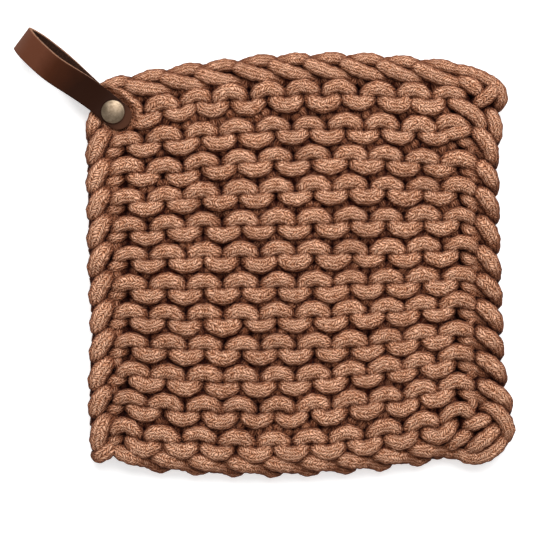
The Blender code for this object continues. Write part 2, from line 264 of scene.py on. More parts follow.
TOP_RIGHT_END = (
    Spot(76.0, 94.4, 6.4, 2.9),
    Spot(80.8, 94.8, 8.2, 3.5),
    Spot(87.4, 93.0, 8.8, 3.7),
    Spot(93.8, 90.0, 9.0, 3.8),
    Spot(98.8, 86.2, 9.0, 3.9),
    Spot(100.4, 81.6, 8.2, 3.9),
    Spot(98.2, 77.6, 5.6, 3.4),
    Spot(92.8, 76.2, 4.6, 2.8),
    Spot(88.2, 77.0, 6.6, 3.0),
    Spot(89.6, 79.2, 9.8, 3.8),
    Spot(93.0, 81.8, 11.3, 4.1),
    Spot(96.4, 84.8, 10.6, 3.9),
    Spot(97.0, 88.4, 6.6, 3.1),
    Spot(92.4, 89.6, 4.0, 3.2),
    Spot(84.6, 91.4, 5.4, 2.8),
    Spot(81.4, 90.4, 8.4, 3.4),
    Spot(84.6, 88.4, 10.8, 4.0),
    Spot(88.2, 86.0, 10.8, 4.1),
    Spot(90.2, 82.8, 7.0, 3.2),
    Spot(88.0, 79.6, 3.8, 3.3),
    Spot(83.8, 82.4, 3.6, 3.5),
    Spot(86.6, 87.4, 3.6, 3.4),
    Spot(92.6, 86.0, 3.6, 3.4),
    Spot(93.0, 80.6, 3.6, 3.4),
)
TOP_LEFT_LUMP = (
    Spot(-92.6, 78.0, 5.4, 2.8),
    Spot(-95.6, 75.2, 7.4, 3.5),
    Spot(-97.8, 70.8, 8.4, 3.9),
    Spot(-98.6, 65.6, 7.6, 3.9),
    Spot(-97.8, 61.6, 5.2, 3.7),
    Spot(-94.4, 62.2, 4.0, 3.4),
    Spot(-93.2, 66.4, 3.8, 3.4),
    Spot(-92.2, 71.0, 3.8, 3.4),
    Spot(-89.0, 74.0, 3.8, 3.2),
)
BELOW_TOP_RIGHT = (
    Spot(69.6, 61.6, 6.0, 2.6),
    Spot(72.8, 63.4, 9.5, 3.5),
    Spot(77.8, 64.4, 11.2, 3.9),
    Spot(82.8, 65.6, 10.6, 3.7),
    Spot(86.2, 67.4, 6.4, 3.0),
    Spot(85.2, 70.2, 4.0, 3.2),
    Spot(80.8, 71.8, 3.8, 3.2),
)
BOTTOM_RIGHT_TURN = (
    Spot(79.2, -80.4, 3.8, 3.4),
    Spot(80.8, -74.6, 3.8, 3.4),
    Spot(86.0, -73.2, 4.0, 3.4),
    Spot(90.4, -71.0, 5.6, 3.4),
    Spot(94.2, -69.2, 8.6, 3.7),
    Spot(98.4, -71.4, 10.4, 4.0),
    Spot(102.2, -76.0, 10.0, 4.1),
    Spot(103.8, -81.0, 8.2, 4.0),
    Spot(101.4, -85.4, 4.6, 3.4),
    Spot(97.2, -83.4, 3.8, 3.4),
    Spot(97.4, -77.4, 4.2, 3.2),
    Spot(95.2, -75.0, 7.4, 3.4),
    Spot(91.4, -75.8, 10.2, 4.0),
    Spot(87.0, -77.3, 10.6, 4.1),
    Spot(83.0, -78.7, 7.2, 3.1),
)
CAST_ON_START = (
    Spot(71.8, -88.2, 4.0, 2.6),
    Spot(76.0, -87.6, 8.0, 3.7),
    Spot(80.6, -84.6, 9.4, 4.1),
    Spot(84.4, -82.6, 8.4, 3.8),
    Spot(88.0, -81.8, 4.4, 3.2),
    Spot(93.6, -79.0, 4.8, 3.3),
    Spot(97.6, -79.6, 8.0, 3.8),
    Spot(95.2, -82.4, 10.2, 4.2),
    Spot(91.2, -85.8, 10.6, 4.3),
    Spot(87.2, -88.8, 8.6, 4.0),
    Spot(84.4, -90.8, 4.6, 3.3),
    Spot(92.6, -89.0, 3.6, 3.5),
    Spot(99.4, -83.6, 4.4, 3.5),
    Spot(101.0, -85.8, 7.6, 3.7),
    Spot(97.4, -89.8, 8.8, 3.9),
    Spot(91.8, -93.2, 8.6, 3.9),
    Spot(85.6, -94.0, 7.6, 3.7),
    Spot(80.6, -92.0, 6.8, 3.5),
    Spot(76.0, -91.0, 4.6, 3.1),
    Spot(80.6, -87.4, 3.7, 3.6),
    Spot(86.4, -85.6, 3.7, 3.7),
)
BOTTOM_LEFT_LUMP = (
    Spot(-80.0, -86.4, 3.7, 3.2),
    Spot(-84.6, -85.6, 3.8, 3.4),
    Spot(-88.6, -86.6, 6.0, 3.4),
    Spot(-90.6, -89.6, 9.4, 4.0),
    Spot(-93.6, -91.8, 9.6, 4.2),
    Spot(-96.3, -93.2, 7.4, 3.7),
    Spot(-97.0, -92.2, 4.2, 2.9),
)
CAST_ON_END = (
    Spot(-84.4, -86.8, 4.0, 3.2),
    Spot(-87.0, -88.2, 6.4, 3.4),
    Spot(-86.2, -90.6, 8.8, 3.9),
)
CORNER_TURNS = {1: TOP_RIGHT_TURN, RIDGES: BOTTOM_RIGHT_TURN}


def clamp(value: float, low: float, high: float) -> float:
    """Keep a value between two limits."""
    return max(low, min(high, value))


def blend(start: float, end: float, share: float) -> float:
    """Step from start to end by a share."""
    return start + (end - start) * share


def bowed(first: float, middle: float, last: float, column: float) -> float:
    """Read the parabola through three values at the first, middle and last columns."""
    reach = 2.0 * column / LAST_COLUMN - 1.0
    return middle + reach * (last - first) / 2 + reach * reach * ((first + last) / 2 - middle)


def place_on_course(course: Course, column: float) -> Vector:
    """Find a column's place on one course of the table, in mm.

    Args:
        course: The course's row of the table.
        column: The column, beyond 0 or the last one at the side edges.

    Returns:
        The place, at height zero.
    """
    if column < 0:
        x = blend(course.first, course.left_edge, column / LEFT_EDGE)
    elif column > LAST_COLUMN:
        past = (column - LAST_COLUMN) / (RIGHT_EDGE - LAST_COLUMN)
        stretch = course.right_edge - course.last - STITCH_WIDTH
        x = course.last + STITCH_WIDTH * past + stretch * past * past
    else:
        x = bowed(course.first, course.middle, course.last, column)
    heights = (course.first_y, course.middle_y, course.last_y)
    inner = bowed(*heights, clamp(column, 0.0, LAST_COLUMN))
    return Vector((x, blend(inner, bowed(*heights, column), EDGE_BOW), 0.0))


def place_in_knit(stop: Stop | Spot) -> tuple[float, float, float, float]:
    """Turn a point that the cord passes into a place in mm.

    Args:
        stop: The point, in columns and courses or in mm.

    Returns:
        Its X, Y, height and cord radius.
    """
    if isinstance(stop, Spot):
        return tuple(stop)
    index = int(clamp(math.floor(stop.course), 0, RIDGES))
    spot = place_on_course(COURSES[index], stop.column)
    spot = spot.lerp(place_on_course(COURSES[index + 1], stop.column), stop.course - index)
    return (spot.x, spot.y, stop.height, stop.radius)


class Board:
    """Lays out the nodes of one material."""

    def __init__(self, name: str) -> None:
        """Start a material with only its Principled shader and its output.

        Args:
            name: The material's name.
        """
        self.material = bpy.data.materials.new(name)
        self.material.use_nodes = True
        self.tree = self.material.node_tree
        self.shader = self.tree.nodes["Principled BSDF"]

    def node(self, kind: str, links: dict[int | str, object], **settings: object) -> bpy.types.Node:
        """Add a node.

        Args:
            kind: The node's type, without the ShaderNode before it.
            links: For each input, the socket that feeds it or its value.
            settings: Properties to set on the node.

        Returns:
            The new node.
        """
        made = self.tree.nodes.new("ShaderNode" + kind)
        for name, value in settings.items():
            setattr(made, name, value)
        for socket, value in links.items():
            self.feed(made.inputs[socket], value)
        return made

    def feed(self, socket: bpy.types.NodeSocket, value: object) -> None:
        """Link a socket to another, or set its value.

        Args:
            socket: The input socket.
            value: The socket that feeds it, or its value.
        """
        if isinstance(value, bpy.types.NodeSocket):
            self.tree.links.new(value, socket)
        else:
            socket.default_value = value

    def math(self, operation: str, *values: object) -> bpy.types.NodeSocket:
        """Add a Math node and give its result."""
        return self.node("Math", dict(enumerate(values)), operation=operation).outputs[0]

    def multiply(self, first: object, second: object) -> bpy.types.NodeSocket:
        """Multiply two colours and give the result."""
        links = {0: 1.0, 6: first, 7: second}
        return self.node("Mix", links, data_type="RGBA", blend_type="MULTIPLY").outputs[2]

    def around_zero(self, value: object, reach: float) -> bpy.types.NodeSocket:
        """Turn a value from 0 to 1 into one from minus half of reach to half of it."""
        return self.math("MULTIPLY_ADD", value, reach, -reach / 2)

    def ramp(self, value: object, stops: tuple[tuple[float, Colour], ...]) -> bpy.types.NodeSocket:
        """Turn a value into a colour.

        Args:
            value: The socket to read.
            stops: Each stop's place from 0 to 1 and its colour.

        Returns:
            The colour socket.
        """
        made = self.node("ValToRGB", {0: value})
        elements = made.color_ramp.elements
        while len(elements) < len(stops):
            elements.new(0.5)
        for element, (place, colour) in zip(elements, stops):
            element.position = place
            element.color = (*colour, 1.0)
        return made.outputs[0]

    def noise(self, vector: object, scale: float, detail: float, rough: float) -> bpy.types.NodeSocket:
        """Add a Noise Texture node and give its value."""
        links = {"Vector": vector, "Scale": scale, "Detail": detail, "Roughness": rough}
        return self.node("TexNoise", links).outputs[0]

    def coordinates(self, kind: str) -> bpy.types.NodeSocket:
        """Give the Object or UV coordinates."""
        return self.node("TexCoord", {}).outputs[kind]

    def stretch(self, vector: object, scale: Colour) -> bpy.types.NodeSocket:
        """Scale coordinates by a different amount along each axis."""
        return self.node("Mapping", {0: vector, 3: scale}).outputs[0]

    def bump(self, height: object, depth: float) -> bpy.types.NodeSocket:
        """Turn a height into a normal."""
        return self.node("Bump", {"Height": height, "Distance": depth, "Strength": 1.0}).outputs[0]

    def finish(self, **values: object) -> bpy.types.Material:
        """Set or link the shader's sockets.

        Args:
            values: A value or a socket for each name, with underscores for spaces.

        Returns:
            The finished material.
        """
        for name, value in values.items():
            self.feed(self.shader.inputs[name.replace("_", " ")], value)
        return self.material


@dataclass(frozen=True)
class CordFinish:
    """Soft cotton cord whose strands run in columns of small Vs along it, with painted shade between its
    strands and stitches and painted highlight on its strand tops.
    """

    name: str = "braided_cotton"
    # Painted shade for points whose sky is hidden by the stitches round them, deeply and by half.
    painted_hollow_shade: Colour = (0.075, 0.017, 0.005)
    painted_half_shade: Colour = (0.46, 0.34, 0.28)
    # The dark and shade colours are painted shade in the gaps between strands; the light colour is painted
    # highlight on the strand tops.
    dark: Colour = (0.075, 0.022, 0.009)
    painted_strand_shade: Colour = (0.26, 0.098, 0.048)
    middle: Colour = (0.56, 0.252, 0.135)
    light: Colour = (0.88, 0.500, 0.328)
    climb: float = 1.42
    strand_depth: float = 0.0009
    wobble: float = 0.9
    wander: float = 1.7
    roundness: float = 0.62
    edge_fade: float = 2.4
    plump: tuple[float, float] = (0.66, 0.4)
    fibre_share: float = 0.3

    def material(self) -> bpy.types.Material:
        """Build the material.

        Returns:
            The cord's material. It reads the UV map: X counts columns of Vs round the cord and
            Y counts strands along it.
        """
        board = Board(self.name)
        spot = board.coordinates("Object")
        relief = self.strands(board, spot)
        # Painted shade and highlight: the strand relief darkens the colour between strands and lightens it
        # on their tops, and each strand's random thickness varies its tone.
        colour = board.ramp(
            relief,
            ((0.08, self.dark), (0.33, self.painted_strand_shade), (0.5, self.middle), (0.84, self.light)),
        )
        patches = board.noise(spot, 45.0, 3.0, 0.6)
        tone = board.ramp(patches, ((0.3, (0.86, 0.83, 0.82)), (0.7, (1.10, 1.10, 1.10))))
        colour = board.multiply(colour, tone)
        # Painted shade: the colour darkens where the stitches round a point hide its sky.
        sky = board.node("Attribute", {}, attribute_name=SKY).outputs["Fac"]
        painted_sky_shade = board.ramp(sky, ((0.25, self.painted_hollow_shade), (0.6, self.painted_half_shade), (0.9, (1.0, 1.0, 1.0))))
        return board.finish(
            Base_Color=board.multiply(colour, painted_sky_shade), Normal=board.bump(relief, self.strand_depth),
            Roughness=0.92, Sheen_Weight=0.02, Sheen_Roughness=0.6, Specular_IOR_Level=0.05,
        )

    def strands(self, board: Board, spot: bpy.types.NodeSocket) -> bpy.types.NodeSocket:
        """Lay the braid's strands, each with its own thickness and a little astray.

        Args:
            board: The material's board.
            spot: The Object coordinates.

        Returns:
            The height of the cord's surface, from about 0 to 1.
        """
        along = board.node("SeparateXYZ", {0: board.coordinates("UV")})
        shift = board.around_zero(board.noise(spot, 300.0, 2.0, 0.5), self.wobble)
        column = board.math("ADD", along.outputs[0], shift)
        out = board.math("ABSOLUTE", board.math("MULTIPLY_ADD", board.math("FRACT", column), 2.0, -1.0))
        lean = board.around_zero(board.noise(spot, 430.0, 2.0, 0.5), self.wander)
        climb = board.math("MULTIPLY_ADD", out, self.climb, board.math("ADD", along.outputs[1], lean))
        strand = board.math("MULTIPLY_ADD", board.math("FRACT", climb), 2.0, -1.0)
        round_top = board.math("SUBTRACT", 1.0, board.math("MULTIPLY", strand, strand))
        centred = board.math("SUBTRACT", out, 0.5)
        fade = board.math("MULTIPLY_ADD", board.math("MULTIPLY", centred, centred), -self.edge_fade, 1.0)
        relief = board.math("MULTIPLY", board.math("POWER", round_top, self.roundness), fade)
        which = board.node("CombineXYZ", {0: board.math("FLOOR", column), 1: board.math("FLOOR", climb)})
        chance = board.node("TexWhiteNoise", {"Vector": which.outputs[0]}, noise_dimensions="2D")
        thinnest, range_of_plump = self.plump
        plump = board.math("MULTIPLY_ADD", chance.outputs[0], range_of_plump, thinnest)
        relief = board.math("ADD", board.math("MULTIPLY", relief, plump), -self.fibre_share / 2)
        fibres = board.noise(spot, 1700.0, 3.0, 0.7)
        return board.math("MULTIPLY_ADD", fibres, self.fibre_share, relief)


@dataclass(frozen=True)
class LeatherFinish:
    """Brown strap leather, darkest over the knit and redder where it bends and ends: partly its own colour
    and partly painted shade and light.
    """

    name: str = "strap_leather"
    # Colours along the strap from its fold to its ends, partly its own and partly painted shade and light.
    fold: Colour = (0.120, 0.045, 0.026)
    bend: Colour = (0.116, 0.038, 0.019)
    slope: Colour = (0.058, 0.016, 0.006)
    dark: Colour = (0.021, 0.0062, 0.0026)
    end: Colour = (0.066, 0.024, 0.012)
    roughness: float = 0.5
    patch_drift: float = 0.12
    grain_depth: float = 0.00006
    grain_share: float = 1.2

    def material(self) -> bpy.types.Material:
        """Build the material.

        Returns:
            The strap's material. It reads the UV map, whose Y runs from end to end of the strap.
        """
        board = Board(self.name)
        spot = board.coordinates("Object")
        place = board.node("SeparateXYZ", {0: board.coordinates("UV")})
        patches = board.noise(spot, 90.0, 4.0, 0.6)
        drift = board.math("MULTIPLY", board.math("SUBTRACT", patches, 0.5), self.patch_drift)
        from_fold = board.math("ABSOLUTE", board.math("SUBTRACT", place.outputs[1], 0.5))
        painted_shade_and_tone = board.math("MULTIPLY_ADD", from_fold, 2.0, drift)
        # Painted shade and light with the leather's own colour: lightest at the bend, darkest over the
        # knit, with random patches of tone.
        colour = board.ramp(
            painted_shade_and_tone,
            ((0.02, self.fold), (0.10, self.bend), (0.22, self.bend), (0.34, self.slope),
             (0.55, self.dark), (0.85, self.dark), (0.96, self.end)),
        )
        grain = board.node(
            "TexVoronoi", {"Vector": spot, "Scale": 1500.0, "Randomness": 1.0}, feature="DISTANCE_TO_EDGE"
        )
        fine = board.noise(spot, 2600.0, 3.0, 0.6)
        height = board.math("ADD", board.math("MULTIPLY", grain.outputs[0], self.grain_share), fine)
        rough = board.math("MULTIPLY_ADD", patches, 0.3, self.roughness - 0.15)
        return board.finish(
            Base_Color=colour, Roughness=rough, Normal=board.bump(height, self.grain_depth),
            Specular_IOR_Level=0.06,
        )


@dataclass(frozen=True)
class FibreFinish:
    """Leather where its fibres show."""

    name: str
    dark: Colour
    light: Colour
    scale: float
    dark_until: float
    roughness: float
    specular: float
    depth: float = 0.0002

    def material(self) -> bpy.types.Material:
        """Build the material.

        Returns:
            The material.
        """
        board = Board(self.name)
        nap = board.noise(board.coordinates("Object"), self.scale, 4.0, 0.7)
        return board.finish(
            Base_Color=board.ramp(nap, ((self.dark_until, self.dark), (0.75, self.light))),
            Roughness=self.roughness, Normal=board.bump(nap, self.depth), Specular_IOR_Level=self.specular,
        )


INNER_SIDE = FibreFinish(
    "leather_inner_side", (0.012, 0.006, 0.004), (0.060, 0.026, 0.016), 1300.0, 0.3, 0.9, 0.05
)
CUT_EDGE = FibreFinish(
    "leather_cut_edge", (0.07, 0.027, 0.014), (0.30, 0.150, 0.085), 900.0, 0.25, 0.85, 0.1
)


@dataclass(frozen=True)
class BrassFinish:
    """Aged brass with a soft shine and faint scratches."""

    name: str = "aged_brass"
    dark: Colour = (0.16, 0.112, 0.070)
    light: Colour = (0.37, 0.285, 0.200)
    scratch_depth: float = 0.00004

    def material(self) -> bpy.types.Material:
        """Build the material.

        Returns:
            The rivet's material.
        """
        board = Board(self.name)
        spot = board.coordinates("Object")
        patches = board.noise(spot, 420.0, 5.0, 0.75)
        scratches = board.noise(board.stretch(spot, (1.0, 6.0, 1.0)), 1500.0, 3.0, 0.6)
        colour = board.ramp(patches, ((0.3, self.dark), (0.72, self.light)))
        rough = board.math("MULTIPLY_ADD", patches, -0.2, 0.54)
        return board.finish(
            Base_Color=colour, Metallic=1.0, Roughness=rough,
            Normal=board.bump(scratches, self.scratch_depth),
        )


@dataclass(frozen=True)
class FloorFinish:
    """A plain pale floor."""

    name: str = "pale_floor"
    colour: Colour = (0.92, 0.92, 0.92)
    glow: float = 0.46

    def material(self) -> bpy.types.Material:
        """Build the material.

        Returns:
            The floor's material.
        """
        board = Board(self.name)
        return board.finish(
            Base_Color=(*self.colour, 1.0), Roughness=0.9, Specular_IOR_Level=0.1,
            Emission_Color=(1.0, 1.0, 1.0, 1.0), Emission_Strength=self.glow,
        )


@dataclass
class Clamped:
    """The place where the strap's ends and the rivet press the knit together, in mm."""

    spot: Vector = field(default_factory=lambda: Vector((-88.7, 74.7, 0.0)))
    way: Vector = field(default_factory=lambda: Vector((-0.774, 0.633, 0.0)).normalized())
    height: float = 7.0
    seat: float = 2.7
    reach: tuple[float, float] = (-3.1, 19.0)
    half_width: float = 6.6
    slope: float = 1.2

    def press(self, points: np.ndarray) -> np.ndarray:
        """Squeeze points of the knit between the strap's ends.

        Args:
            points: Places in mm, one to a row.

        Returns:
            The places with their heights limited.
        """
        flat = points[:, :2] - np.array(self.spot[:2])
        way = np.array(self.way[:2])
        out = np.clip(flat @ way, *self.reach)
        away = np.linalg.norm(flat - out[:, None] * way, axis=1) - self.half_width
        room = self.seat + np.maximum(0.0, away) * self.slope
        pressed = points.copy()
        pressed[:, 2] = np.clip(points[:, 2], self.height - room, self.height + room)
        return pressed


@dataclass
class Cord:
    """Turns the stops of a cord into a closed tube with its strands in the UV map."""

    ring_gap: float = 1.1
    sides: int = 18
    swell: float = 0.035
    swell_lengths: tuple[float, float] = (5.3, 3.4)
    columns_round: float = 7.0
    strand_step: float = 1.15
    thinnest_end: float = 0.3
    samples_a_ring: int = 3
    fewest_samples: int = 4
    nearest_knots: float = 1e-3

    def smooth(self, stops: list[Stop]) -> np.ndarray:
        """Draw a smooth line through the stops.

        Args:
            stops: The stops, in order.

        Returns:
            Evenly spaced points of X, Y, Z and radius, in mm.
        """
        knots = np.array([place_in_knit(stop) for stop in stops])
        ends = (2 * knots[0] - knots[1], 2 * knots[-1] - knots[-2])
        knots = np.vstack((ends[0], knots, ends[1]))
        pieces = []
        for index in range(1, len(knots) - 2):
            pieces.append(self.segment(knots[index - 1:index + 3]))
        line = np.vstack((*pieces, knots[-2]))
        steps = np.linalg.norm(np.diff(line[:, :3], axis=0), axis=1)
        length = np.concatenate(([0.0], np.cumsum(steps)))
        even = np.linspace(0.0, length[-1], int(length[-1] / self.ring_gap) + 1)
        return np.column_stack([np.interp(even, length, line[:, i]) for i in range(4)])

    def segment(self, knots: np.ndarray) -> np.ndarray:
        """Sample the curve between the middle two of four knots.

        Args:
            knots: Four rows of X, Y, Z and radius.

        Returns:
            Rows from the second knot up to the third, without the third.
        """
        gaps = np.linalg.norm(np.diff(knots[:, :3], axis=0), axis=1) ** 0.5
        times = np.concatenate(([0.0], np.cumsum(np.maximum(gaps, self.nearest_knots))))
        length = np.linalg.norm(knots[2, :3] - knots[1, :3])
        count = max(self.fewest_samples, int(length / self.ring_gap * self.samples_a_ring))
        t = np.linspace(times[1], times[2], count, endpoint=False)[:, None]

        def step(a: np.ndarray, b: np.ndarray, start: float, end: float) -> np.ndarray:
            """Mix two rows by the time between them."""
            return (a * (end - t) + b * (t - start)) / (end - start)

        first = step(knots[0], knots[1], times[0], times[1])
        second = step(knots[1], knots[2], times[1], times[2])
        third = step(knots[2], knots[3], times[2], times[3])
        return step(step(first, second, times[0], times[2]), step(second, third, times[1], times[3]),
                    times[1], times[2])

    def turned_frames(self, line: np.ndarray) -> tuple[np.ndarray, np.ndarray]:
        """Carry a pair of directions square to the line along it, without a twist.

        Args:
            line: The cord's points.

        Returns:
            Two unit directions at each point.
        """
        ways = np.gradient(line[:, :3], axis=0)
        ways /= np.linalg.norm(ways, axis=1)[:, None]
        across = np.zeros_like(ways)
        start = np.cross(ways[0], (0.0, 0.0, 1.0))
        across[0] = start / np.linalg.norm(start)
        for i in range(1, len(ways)):
            turned = across[i - 1] - ways[i] * (across[i - 1] @ ways[i])
            across[i] = turned / np.linalg.norm(turned)
        return across, np.cross(ways, across)

    def rings(self, line: np.ndarray) -> np.ndarray:
        """Put a ring of points round each point of a line, a little lumpy as a braid is.

        Args:
            line: The cord's points.

        Returns:
            The rings, with each ring's first point again at its end, in mm.
        """
        across, up = self.turned_frames(line)
        turns = np.linspace(0.0, math.tau, self.sides + 1)[None, :]
        along = np.arange(len(line))[:, None] * self.ring_gap
        long_wave, short_wave = (math.tau * along / length for length in self.swell_lengths)
        lumps = 1.0 + self.swell * (np.sin(long_wave + 2 * turns) + np.sin(short_wave - 3 * turns))
        radius = line[:, 3].copy()
        radius[0] = radius[-1] = self.thinnest_end
        offsets = across[:, None] * np.cos(turns)[..., None] + up[:, None] * np.sin(turns)[..., None]
        return line[:, None, :3] + offsets * (radius[:, None] * lumps)[..., None]

    def add_strand(
        self, builder: bmesh.types.BMesh, stops: list[Stop | Spot], clamped: Clamped
    ) -> None:
        """Roll a grid into a strand's tube.

        Args:
            builder: The bmesh that gets the tube.
            stops: The points that the strand passes.
            clamped: Where the strap presses the knit.
        """
        points = self.rings(self.smooth(stops))
        rings = len(points)
        points = clamped.press(points.reshape(-1, 3))
        points[:, 2] = np.maximum(points[:, 2], 0.0)
        layer = builder.loops.layers.uv.verify()
        grid = bmesh.ops.create_grid(
            builder, x_segments=self.sides, y_segments=rings - 1, size=0.5, calc_uvs=True
        )["verts"]
        for vert in grid:
            side = round((vert.co.x + 0.5) * self.sides)
            ring = round((vert.co.y + 0.5) * (rings - 1))
            vert.co = points[ring * (self.sides + 1) + side] * MM
        length = (rings - 1) * self.ring_gap
        for face in {face for vert in grid for face in vert.link_faces}:
            for loop in face.loops:
                place = loop[layer].uv
                loop[layer].uv = (place.x * self.columns_round, place.y * length / self.strand_step)
        bmesh.ops.remove_doubles(builder, verts=grid, dist=MERGE)

    def piece(
        self, name: str, strands: list[list[Stop | Spot]], clamped: Clamped
    ) -> bpy.types.Object:
        """Make one piece of one or more strands.

        Args:
            name: The piece's name.
            strands: Each strand's points.
            clamped: Where the strap presses the knit.

        Returns:
            The piece, with its place in its mesh.
        """
        builder = bmesh.new()
        for stops in strands:
            self.add_strand(builder, stops, clamped)
        open_edges = [edge for edge in builder.edges if edge.is_boundary]
        bmesh.ops.holes_fill(builder, edges=open_edges, sides=0)
        bmesh.ops.recalc_face_normals(builder, faces=builder.faces)
        return new_piece(name, builder)


def sort_by_place(builder: bmesh.types.BMesh) -> None:
    """Give a bmesh's points and faces an order that is the same each run, as a spin's isn't.

    Args:
        builder: The bmesh.
    """
    points = sorted(builder.verts, key=lambda vert: tuple(vert.co))
    faces = sorted(builder.faces, key=lambda face: tuple(face.calc_center_median()))
    for index, element in (*enumerate(points), *enumerate(faces)):
        element.index = index
    builder.verts.sort()
    builder.faces.sort()


def new_piece(name: str, builder: bmesh.types.BMesh) -> bpy.types.Object:
    """Turn a bmesh into a smooth-shaded object at the origin.

    Args:
        name: The piece's name.
        builder: The bmesh, in metres, which is freed.

    Returns:
        The object.
    """
    mesh = bpy.data.meshes.new(name)
    builder.to_mesh(mesh)
    builder.free()
    mesh.shade_smooth()
    piece = bpy.data.objects.new(name, mesh)
    bpy.context.scene.collection.objects.link(piece)
    return piece


@dataclass
class OpenSky:
    """Measures how much sky each point of the knit sees past the stitches round it."""

    cell: float = 0.0007
    reach: float = 0.008
    margin: int = 16
    steps: tuple[float, ...] = (0.0014, 0.0026, 0.0042, 0.0065)
    directions: int = 12
    slack: float = 0.0008

    def mark(self, pieces: list[bpy.types.Object]) -> None:
        """Write the share of open sky to each point of the pieces.

        Args:
            pieces: The knit's pieces, whose meshes get the attribute.
        """
        places, normals = [], []
        for piece in pieces:
            count = len(piece.data.vertices)
            place, normal = np.empty(count * 3), np.empty(count * 3)
            piece.data.vertices.foreach_get("co", place)
            piece.data.vertices.foreach_get("normal", normal)
            places.append(place.reshape(-1, 3))
            normals.append(normal.reshape(-1, 3))
        points = np.vstack(places)
        lift = np.vstack(normals)[:, 2]
        above = self.seen(points)
        below = self.seen(points * (1.0, 1.0, -1.0))
        share = above * (1.0 + lift) / 2 + below * (1.0 - lift) / 2
        start = 0
        for piece, place in zip(pieces, places):
            layer = piece.data.attributes.new(SKY, "FLOAT", "POINT")
            layer.data.foreach_set("value", share[start:start + len(place)])
            start += len(place)

    def seen(self, points: np.ndarray) -> np.ndarray:
        """Find the share of the sky above each point.

        Args:
            points: Places in metres.

        Returns:
            A share from 0 to 1 for each point.
        """
        low = points[:, :2].min(axis=0) - self.margin * self.cell
        cells = ((points[:, :2] - low) / self.cell).astype(int)
        size = cells.max(axis=0) + self.margin
        tops = np.full(size, points[:, 2].min())
        np.maximum.at(tops, (cells[:, 0], cells[:, 1]), points[:, 2])
        for axis in (0, 1):
            tops = np.maximum.reduce([np.roll(tops, step, axis) for step in (-1, 0, 1)])
        open_share = np.zeros(len(points))
        for turn in range(self.directions):
            angle = math.tau * turn / self.directions
            way = np.array((math.cos(angle), math.sin(angle)))
            slope = np.zeros(len(points))
            for step in self.steps:
                spots = ((points[:, :2] + way * step - low) / self.cell).astype(int)
                rise = tops[spots[:, 0], spots[:, 1]] - points[:, 2] - self.slack
                slope = np.maximum(slope, rise / step)
            open_share += 1.0 - slope / np.sqrt(1.0 + slope * slope)
        return open_share / self.directions


def neck(before: Stop, after: Stop) -> Stop:
    """Put a thin stop half way between two others, where one loop goes inside the next."""
    middle = [(start + end) / 2 for start, end in zip(before[:3], after[:3])]
    return Stop(*middle, NECK_RADIUS)


class Face(Enum):
    """The face of the knit that shows the heads of a row's loops."""

    FRONT = 1
    BACK = -1


@dataclass
class KnitRow:
    """One row of loops, heads on one face and sinkers on the other."""

    ridge: int
    heads: Face
    chance: random.Random
    sway: float = 0.022
    lift: float = 0.35
    plump: float = 0.05
    most_raised: float = 0.2

    def bend(self, column: float, face: Face, upside: int, course: float) -> list[Stop]:
        """List the stops of one head or sinker from left to right.

        Args:
            column: The column of its middle.
            face: The face that it lies on.
            upside: 1 for a head, which bends back down, and -1 for a sinker.
            course: The course of its middle.

        Returns:
            Seven stops.
        """
        for pull in PULLS:
            if face is Face.FRONT and (pull.ridge, pull.column) == (self.ridge, column):
                column += pull.right / STITCH_WIDTH
                course -= pull.up / COURSE_HEIGHT
        column += self.chance.gauss(0.0, self.sway) - (SINKER_LEAN if upside < 0 else 0.0)
        course += self.chance.gauss(0.0, self.sway)
        raised = self.chance.gauss(0.0, self.lift)
        plump = 1.0 + self.chance.gauss(0.0, self.plump)
        stops = []
        for way, steps in ((-1, BEND[:0:-1]), (1, BEND)):
            for step in steps:
                if face is Face.FRONT:
                    height = CREST_HEIGHT - step.sink + min(self.most_raised, raised)
                else:
                    height = BACK_HEIGHT + step.sink
                stops.append(Stop(
                    column + way * step.side, course + upside * step.back, height, step.radius * plump
                ))
        return stops

    def loops(self) -> list[Stop]:
        """List the stops of the row, without the side edges.

        Returns:
            The stops from the first head to the last.
        """
        if self.heads is Face.FRONT:
            head_course, sinker_course = self.ridge, self.ridge + BACK_OFFSET + SINKER_DROP
        else:
            head_course, sinker_course = self.ridge - BACK_OFFSET, self.ridge + SINKER_DROP
        if self.heads is Face.FRONT and self.ridge == RIDGES:
            sinker_course -= CAST_ON_LIFT
        sinker_face = Face.BACK if self.heads is Face.FRONT else Face.FRONT
        stops: list[Stop] = []
        for column in range(LAST_COLUMN + 1):
            if column:
                sinker = self.bend(column - 0.5, sinker_face, -1, sinker_course)
                head = self.bend(column, self.heads, 1, head_course)
                stops += [neck(stops[-1], sinker[0]), *sinker, neck(sinker[-1], head[0]), *head]
            else:
                stops += self.bend(column, self.heads, 1, head_course)
        return stops


def moved(link: tuple[Stop, ...], column: float, course: float) -> list[Stop]:
    """Shift the stops of a link by columns and courses."""
    return [Stop(stop.column + column, stop.course + course, stop.height, stop.radius) for stop in link]


